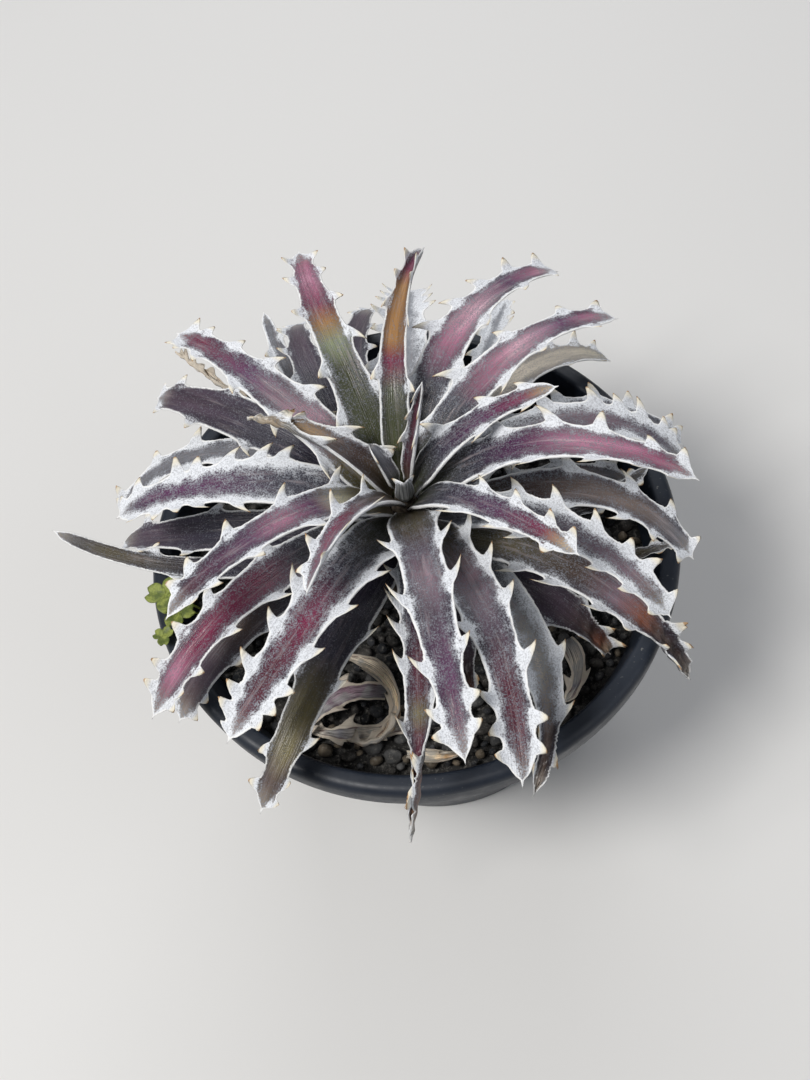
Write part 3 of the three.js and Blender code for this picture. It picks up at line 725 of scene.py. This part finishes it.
def leaf_blade(start, row, seed, thickness):
    """The points, faces and attributes of one leaf, a closed body with hooked spines."""
    heading, length, rise, fall, sweep, width, look, twist, *tips = row
    draw = random.Random(seed)
    curve = Curve(start, heading, length, rise, fall, sweep, twist)
    tips = tips or (random_tips(draw, length), random_tips(draw, length))
    spines = {sign: grow_spines(draw, some, length, width) for sign, some in zip((-1, 1), tips)}
    places = cross_sections(length, np.concatenate([spines[-1][:, 0], spines[1][:, 0]]))
    share = places / length
    count = len(places)
    withered = thickness < LEAF_THICKNESS
    dried = smoothstep(share, DRIED_FROM, DRIED_TO) * (look in SHRIVELLED)

    rounded = np.sqrt(1 - np.clip((share - 0.9) / 0.08, 0, 1) ** 2)
    blunt = np.maximum(rounded, np.clip((1 - share) / 0.05, 0, 1) * 0.3)
    base = BASE_WIDTH[0] + BASE_WIDTH[1] * smoothstep(share, 0, 0.2)
    swing, pace = WITHERED_SWAY if withered else SWAY
    sway = 1 + swing * np.sin(places * pace + draw.uniform(0, 6))
    half_width = width / 2 * base * (1 - NARROWING * share**2.1) * blunt * sway
    half_width *= 1 - SHRIVELLED.get(look, 0) * dried
    thick = thickness * (0.6 + 0.4 * smoothstep(share, 0, 0.15)) * (1 - 0.5 * share) * (0.3 + 0.7 * blunt)
    wave = WAVE * np.sin(places * 0.12 + draw.uniform(0, 6)) * smoothstep(share, 0.05, 0.25)
    crease_height = WITHERED_CREASES if withered else DRIED_CREASES * dried
    crease_starts = draw.uniform(0, 6), draw.uniform(0, 6)
    base_curl, tip_curl = CURLS.get(look, PLAIN_CURL)
    curl = base_curl + (tip_curl - base_curl) * share**1.5 + DRIED_CURL * dried
    point, along, side, up = (curve.at(share, r) for r in (curve.points, curve.along, curve.side, curve.up))
    margins = {sign: margin_profile(places, spines[sign]) for sign in (-1, 1)}
    stray = RAGGEDNESS * (1 + DRIED_RAGGEDNESS * dried)
    ragged = {sign: stray * np.array([draw.random() for _ in places]) for sign in (-1, 1)}
    depth_scale = (FROST_WIDTH / width) ** 0.7
    spine_size = smoothstep(share, 0.02, 0.12) * (1 - smoothstep(share, 0.95, 0.99))

    def column(across, spine_share, face):
        """One line of points along the leaf. spine_share runs from 0 at the blade's edge to 1."""
        sign = 1 if across > 0 else -1
        height, frost, hook, lift, tall = margins[sign]
        margin = (EDGE_ROUNDING + ragged[sign]) * np.sqrt(blunt) + height * spine_size
        beyond = spine_share * margin
        reach = beyond / np.maximum(tall, 2.0)
        shift = SPINE_HOOK * hook * tall * reach**SPINE_BEND
        bend = abs(across) * curl
        outward = half_width * np.sin(bend) / curl + beyond * np.cos(bend)
        raised = half_width * (1 - np.cos(bend)) / curl + beyond * np.sin(bend) + lift * beyond * reach
        body = thick / 2 * (1 - 0.5 * abs(across) ** 3)
        half_thick = face * body * sqrt(max(0.0, 1 - spine_share**1.5))
        outward = outward - half_thick * np.sin(bend)
        raised = raised + half_thick * np.cos(bend)
        creases = np.sin(places * 0.9 + 5 * across + crease_starts[0])
        creases = creases * np.sin(places * 0.37 - 3 * across + crease_starts[1])
        placed = point + side * (sign * outward)[:, None]
        placed = placed + along * shift[:, None] + up * (raised + wave + crease_height * creases)[:, None]
        inside = (1 - abs(across)) * half_width * depth_scale
        outline = inside + (margin - beyond) * depth_scale
        patch = frost * smoothstep(-inside, *PATCH_DEPTH)
        flat_side = across * half_width + sign * beyond
        # The seed sets the noise of two leaves apart.
        place = np.stack([places + 137.0 * seed, flat_side, reach], axis=1)
        marks = np.stack([inside, patch, np.full(count, float(face))], axis=1)
        colours = leaf_colours(look, share, np.full(count, float(across)))
        return placed, place, marks, colours, outline[:, None]

    columns = [column(*place) for place in AROUND]
    points, place, marks, colours, outline = (
        np.stack(rows, axis=1).reshape(-1, rows[0].shape[1]) for rows in zip(*columns)
    )
    attributes = {
        "leaf_place": place,
        "leaf_edge": marks,
        "leaf_outline": outline,
        "flesh": colours,
    }
    return points, tube_faces(count, len(AROUND), inside_out=True), attributes


def polar(radius, angle, height=0):
    return radius * cos(angle), radius * sin(angle), height


def stem_radius(height):
    return STEM_TOP_RADIUS + (CROWN_TOP - height) * STEM_FLARE


SLOTS = {part["node"]: part["material_slot"] for part in frame["record"]["subparts"]}


def make_leaf(name, start, row, seed, thickness, skin):
    points, faces, attributes = leaf_blade(start, row, seed, thickness)
    settle(mesh_object(name + "_blade", points, faces, skin, attributes), SLOTS[name], name)


def make_leaves(living, dead):
    for index, (name, *row) in enumerate(LEAVES):
        height = CROWN_TOP - LEAF_STEP * index
        radius = stem_radius(height) + LEAF_THICKNESS / 2 + GAP
        start = polar(radius, radians(row[0]), height)
        thickness = DRY_THICKNESS if name.startswith("dry") else LEAF_THICKNESS
        make_leaf(name, start, row, index + 1, thickness, dead if row[6] == "straw" else living)
    for index, (name, x, y, lift, *row) in enumerate(FALLEN_LEAVES):
        start = (x, y, GRAVEL_TOP + lift)
        make_leaf(name, start, row, 100 + index, DRY_THICKNESS, dead)


# ---- pot, soil, stem and gravel ----

ROUND_SEGMENTS = 160
# Radius and height of the points of the pot's underside, from its middle pad to the foot ring.
UNDERSIDE = ((13, 0), (14, 1.5), (48, 1.5), (49, 0), (51, 0), (51.8, 0.3), (52.5, 1.2))
OUTER_LOOPS = (2, 24, 24.4, 60, 60.4)  # heights of the loops that keep the wall's shading even
INNER_LOOP = 60
SKIRT_HOLLOW = 3.0  # height of the groove between the rim's skirt and the wall
SKIRT_LIP_RADIUS = 0.5
INNER_LIP_RADIUS = 1.4
CORNER_LEG = 2.5  # the rounding between the inner wall and the floor
DRAIN_HOLES, DRAIN_RING, DRAIN_RADIUS = 6, 34, 5

GRAVEL_INNER = 14.0  # radius of the hole around the stem
STONES = ((6.5, 150, 2), (4.8, 320, 2), (3.2, 600, 1))  # size, number, subdivisions of the ball
STONE_CLEARANCE = 0.42  # least distance of two stones, as a share of their sizes' sum
STONE_FACETS, FACET_DEPTH = 7, 0.92
STONE_TINTS = (
    (38, 40, 44), (56, 57, 60), (78, 78, 78), (46, 44, 42), (32, 34, 38), (64, 61, 58), (100, 90, 76),
)
STONE_SUNK = 0.42  # how deep a stone lies, as a share of its size
STONE_PROUD = 1.2  # and how far all of them are raised
GRIT_TINT = (44, 43, 42)
GRIT_RINGS, GRIT_SEGMENTS = 24, 90


def pot_inside(height):
    base_inside = POT_BASE_RADIUS - POT_WALL
    return base_inside + (RIM_RADIUS - RIM_WIDTH - base_inside) * height / POT_HEIGHT


def pot_outside(height):
    return pot_inside(height) + POT_WALL


def arc(centre_radius, centre_height, radius, start, end, steps):
    points = []
    for i in range(steps + 1):
        angle = radians(start + (end - start) * i / steps)
        points.append((centre_radius + radius * cos(angle), centre_height + radius * sin(angle)))
    return points


def circle(radius, height, segments):
    return [polar(radius, 2 * pi * i / segments, height) for i in range(segments)]


def apply_modifier(piece, name):
    bpy.context.view_layer.objects.active = piece
    bpy.ops.object.modifier_apply(modifier=name)


def make_pot(material):
    """The pot's wall and rolled rim, with rounded edges and its drain holes cut out."""
    skirt_foot = POT_HEIGHT - RIM_DROP
    roll, lip = RIM_ROLL_RADIUS, INNER_LIP_RADIUS
    mouth = RIM_RADIUS - RIM_WIDTH
    outline = [
        *UNDERSIDE,
        *[(pot_outside(h), h) for h in (*OUTER_LOOPS, skirt_foot + 2.6)],
        (pot_outside(skirt_foot + SKIRT_HOLLOW) + 0.6, skirt_foot + SKIRT_HOLLOW),
        (RIM_RADIUS - 1.8, skirt_foot + 0.4),
        *arc(RIM_RADIUS - 1.2, skirt_foot + SKIRT_LIP_RADIUS, SKIRT_LIP_RADIUS, 200, 360, 6),
        *arc(RIM_RADIUS - roll, POT_HEIGHT - roll, roll, 0, 90, 8),
        (mouth + 1.6, POT_HEIGHT),
        *arc(mouth + lip, POT_HEIGHT - lip, lip, 95, 175, 5),
        *[(pot_inside(h), h) for h in (POT_HEIGHT - 4, skirt_foot, INNER_LOOP, FLOOR_TOP + CORNER_LEG)],
        (pot_inside(FLOOR_TOP) - 0.7, FLOOR_TOP + 0.7),
        (pot_inside(FLOOR_TOP) - CORNER_LEG, FLOOR_TOP),
    ]
    points = [point for radius, height in outline for point in circle(radius, height, ROUND_SEGMENTS)]
    pot = mesh_object("pot_shell", points, tube_faces(len(outline), ROUND_SEGMENTS), material)
    for i in range(DRAIN_HOLES):
        angle = (i + 0.5) * 2 * pi / DRAIN_HOLES
        bpy.ops.mesh.primitive_cylinder_add(
            radius=DRAIN_RADIUS * MM, depth=20 * MM, vertices=32, location=polar(DRAIN_RING * MM, angle),
        )
        drill = bpy.context.object
        cut = pot.modifiers.new("drain", "BOOLEAN")
        cut.object = drill
        apply_modifier(pot, cut.name)
        bpy.data.objects.remove(drill)
    edges = pot.modifiers.new("edges", "EDGE_SPLIT")
    edges.split_angle = radians(50)
    apply_modifier(pot, edges.name)
    settle(pot, "pot_plastic", "pot")


def make_stem(material):
    """The stem, ringed by the scars and stubs of old leaf bases."""
    foot, top = GRAVEL_TOP - GRAVEL_DEPTH, CROWN_TOP - 4
    draw = random.Random(5)
    segments = 60
    points = []
    for i in range(segments + 1):
        height = foot + (top - foot) * i / segments
        for j in range(segments):
            angle = 2 * pi * j / segments
            scale = sin(height * 1.9 + 5 * angle) * sin(3 * angle + height * 0.7)
            radius = stem_radius(height) - 0.2 + 0.5 * scale
            radius += draw.uniform(-0.15, 0.15)
            points.append(polar(radius, angle, height))
    faces = tube_faces(segments + 1, segments)
    settle(mesh_object("stem_trunk", points, faces, material), "stem", "stem")


def stone_shape(draw, size, detail):
    """Points and faces of one worn, angular stone around the origin."""
    ball = bmesh.new()
    bmesh.ops.create_icosphere(ball, subdivisions=detail, radius=1.0)
    points = np.array([v.co[:] for v in ball.verts])
    faces = [tuple(v.index for v in f.verts) for f in ball.faces]
    ball.free()
    for _ in range(STONE_FACETS):
        normal = np.array([draw.gauss(0, 1) for _ in range(3)])
        normal /= np.linalg.norm(normal)
        limit = draw.uniform(0.62, 0.9)
        reach = points @ normal
        points = points - np.outer(np.maximum(reach - limit, 0) * FACET_DEPTH, normal)
    stretch = np.array([draw.uniform(0.8, 1.2), draw.uniform(0.7, 1.0), draw.uniform(0.6, 0.85)])
    angle = draw.uniform(0, 6.28)
    axis = Vector([draw.gauss(0, 1) for _ in range(3)])
    turn = np.array(Matrix.Rotation(angle, 3, axis))
    return (points * stretch * size / 2) @ turn.T, faces


def joined(shapes):
    """The points and faces of several shapes as those of one."""
    points, faces = [], []
    for some_points, some_faces in shapes:
        faces += [tuple(len(points) + v for v in face) for face in some_faces]
        points += list(some_points)
    return points, faces


def scatter_stones(draw, outer):
    """Stones of each size, where they keep clear of those already there, and their tints."""
    placed, stones, tints = [], [], []
    for size, count, detail in STONES:
        tries = 0
        while count and tries < 20000:
            tries += 1
            radius = sqrt(draw.uniform(GRAVEL_INNER**2, (outer - size / 2) ** 2))
            x, y, _ = polar(radius, draw.uniform(0, 2 * pi))
            if any((x - a) ** 2 + (y - b) ** 2 < (STONE_CLEARANCE * (size + s)) ** 2 for a, b, s in placed):
                continue
            own = size * draw.uniform(0.85, 1.15)
            placed.append((x, y, own))
            sink = draw.uniform(0.1, 0.8)
            points, faces = stone_shape(draw, own, detail)
            height = GRAVEL_TOP - own * STONE_SUNK - sink + STONE_PROUD
            stones.append((points + np.array((x, y, height)), faces))
            tints.append(draw.choice(STONE_TINTS))
            count -= 1
    return stones, tints


def grit_bed(draw, outer):
    """A rough ring of fine grit under the stones, closed all around."""
    points = []
    inner = GRAVEL_INNER - 3
    for i in range(GRIT_RINGS + 1):
        radius = inner + (outer + 0.3 - inner) * i / GRIT_RINGS
        for j in range(GRIT_SEGMENTS):
            height = GRAVEL_TOP - 3.6 + draw.uniform(-0.7, 0.7)
            points.append(polar(radius, 2 * pi * j / GRIT_SEGMENTS, height))
    for radius in (outer - 3.5, inner):
        points += circle(radius, GRAVEL_TOP - GRAVEL_DEPTH, GRIT_SEGMENTS)
    loops = GRIT_RINGS + 3
    faces = []
    for i in range(loops):
        here, there = i * GRIT_SEGMENTS, (i + 1) % loops * GRIT_SEGMENTS
        for j in range(GRIT_SEGMENTS):
            k = (j + 1) % GRIT_SEGMENTS
            faces.append((here + j, there + j, there + k, here + k))
    return points, faces


def make_gravel(material):
    """Loose stones over a bed of finer grit that fills the gaps between them."""
    draw = random.Random(11)
    outer = pot_inside(GRAVEL_TOP) - 0.6
    shapes, tints = scatter_stones(draw, outer)
    shapes.append(grit_bed(draw, outer))
    colours = [[*linear(tint), 1.0] for tint in (*tints, GRIT_TINT)]
    colours = np.repeat(colours, [len(points) for points, _ in shapes], axis=0)
    piece = mesh_object("gravel_stones", *joined(shapes), material, {"tint": colours})
    settle(piece, "gravel", "gravel_bed")


# ---- clover ----

# As shares of a leaflet's length, and of its width for the fold.
LEAFLET_WIDTH, LEAFLET_NOTCH, LEAFLET_FOLD = 0.55, 0.16, 0.22


def stalk(root, top):
    """Points and faces of a thin stalk that bows up a little."""
    points, steps, sides = [], 14, 8
    for i in range(steps + 1):
        t = i / steps
        centre = root * (1 - t) + top * t + np.array([0, 0, 2 * sin(pi * t)])
        radius = 0.45 - 0.15 * t
        for j in range(sides):
            angle = 2 * pi * j / sides
            points.append(tuple(centre + radius * np.array([cos(angle), sin(angle), 0])))
    return points, tube_faces(steps + 1, sides)


def leaflet(foot, angle, size, droop):
    """Points and faces of one heart-shaped leaflet, folded along its midrib."""
    ahead = np.array(polar(1, angle))
    beside = np.array([-sin(angle), cos(angle), 0])
    rows, columns = 10, 8
    points = []
    for face in (1, -1):
        for i in range(rows + 1):
            u = i / rows
            half = size * LEAFLET_WIDTH * sin(pi * min(1, 0.08 + 0.78 * u)) ** 0.8
            for j in range(columns + 1):
                v = j / columns * 2 - 1
                notch = LEAFLET_NOTCH * size * u**4 * (1 - abs(v)) ** 1.5
                fold = LEAFLET_FOLD * abs(v) * half
                at = foot + ahead * (u * size - notch) + beside * v * half
                height = fold - droop * size * u * u + face * 0.12
                points.append(tuple(at + np.array([0, 0, height])))
    one_side = (rows + 1) * (columns + 1)
    faces = []
    for i in range(rows):
        for j in range(columns):
            a = i * (columns + 1) + j
            quad = (a, a + columns + 1, a + columns + 2, a + 1)
            faces.append(quad)
            faces.append(tuple(one_side + v for v in quad[:1] + quad[:0:-1]))
    rim = list(range(columns + 1))
    rim += [i * (columns + 1) + columns for i in range(1, rows + 1)]
    rim += [rows * (columns + 1) + j for j in range(columns - 1, -1, -1)]
    rim += [i * (columns + 1) for i in range(rows - 1, 0, -1)]
    faces += [(a, b, one_side + b, one_side + a) for a, b in zip(rim, rim[1:] + rim[:1])]
    return points, faces


def make_clover(material):
    """Three clover leaves of three heart-shaped, folded leaflets on thin stalks."""
    draw = random.Random(3)
    shapes = []
    root = np.array([*CLOVER_ROOT, GRAVEL_TOP])
    for x, y, lift, turn, size in CLOVER_LEAVES:
        middle = np.array([x, y, POT_HEIGHT + lift])
        shapes.append(stalk(root, middle))
        for lobe in range(3):
            angle = radians(turn + 120 * lobe)
            shapes.append(leaflet(middle, angle, size, draw.uniform(-0.15, 0.25)))
    settle(mesh_object("clover_leaves", *joined(shapes), material), "clover", "clover_sprig")


# ---- camera, floor and light ----

CAMERA_PLACE = (-2.3, -207.0, 488.0)
CAMERA_ELEVATION = 61.0
CAMERA_ROLL = -11.0
CAMERA_LENS = 44.33
CAMERA_SENSOR = 36.0  # along the picture's long side
FLOOR_HALF = 3000.0

# Name, place and size in metres, power in watts and colour of the lamps.
LAMPS = (
    ("key", (-0.7, -0.35, 1.5), (0.5, 0.5), 20, (1.0, 0.985, 0.96)),
    ("fill", (1.2, -0.6, 1.1), (1.2, 1.2), 4, (0.93, 0.96, 1.0)),
    ("back", (0.2, 1.3, 1.0), (1.0, 0.6), 7, (0.97, 0.98, 1.0)),
)
LAMP_TARGET = (0, 0, 0.12)
WORLD_COLOUR, WORLD_STRENGTH = (0.9, 0.93, 1.0, 1), 0.19


def make_camera():
    down, roll = radians(CAMERA_ELEVATION), radians(CAMERA_ROLL)
    right = Vector((1, 0, 0))
    forward = Vector((0, cos(down), -sin(down)))
    upward = Vector((0, sin(down), cos(down)))
    x_axis = cos(roll) * right + sin(roll) * upward
    y_axis = cos(roll) * upward - sin(roll) * right
    lens = bpy.data.cameras.new("camera")
    lens.lens = CAMERA_LENS
    lens.sensor_width = CAMERA_SENSOR
    lens.clip_start = 0.01
    camera = bpy.data.objects.new("camera", lens)
    turn = Matrix((x_axis, y_axis, -forward)).transposed()
    camera.matrix_world = Matrix.Translation(Vector(CAMERA_PLACE) * MM) @ turn.to_4x4()
    bpy.context.scene.collection.objects.link(camera)
    bpy.context.scene.camera = camera


def make_floor():
    corners = [(x * FLOOR_HALF, y * FLOOR_HALF, 0) for x, y in ((-1, -1), (1, -1), (1, 1), (-1, 1))]
    floor = mesh_object("floor", corners, [(0, 1, 2, 3)], floor_material())


def make_lights():
    for name, place, size, power, colour in LAMPS:
        lamp = bpy.data.lights.new(name, "AREA")
        lamp.shape = "RECTANGLE"
        lamp.size, lamp.size_y = size
        lamp.energy = power
        lamp.color = colour
        light = bpy.data.objects.new(name, lamp)
        light.location = Vector(place)
        aim = Vector(LAMP_TARGET) - light.location
        light.rotation_mode = "QUATERNION"
        light.rotation_quaternion = aim.to_track_quat("-Z", "Y")
        bpy.context.scene.collection.objects.link(light)
    world = bpy.data.worlds.new("studio")
    world.use_nodes = True
    background = world.node_tree.nodes["Background"]
    background.inputs["Color"].default_value = WORLD_COLOUR
    background.inputs["Strength"].default_value = WORLD_STRENGTH
    bpy.context.scene.world = world
    bpy.context.scene.view_settings.view_transform = "Standard"


# ---- the whole scene ----

make_camera()
make_floor()
make_lights()

make_pot(pot_material())
make_gravel(gravel_material())
make_stem(stem_material())
make_leaves(leaf_material(), dry_leaf_material())
make_clover(clover_material())

mix = frame["nodes"]["potting_mix"]
mix.data.materials.clear()
mix.data.materials.append(soil_material())
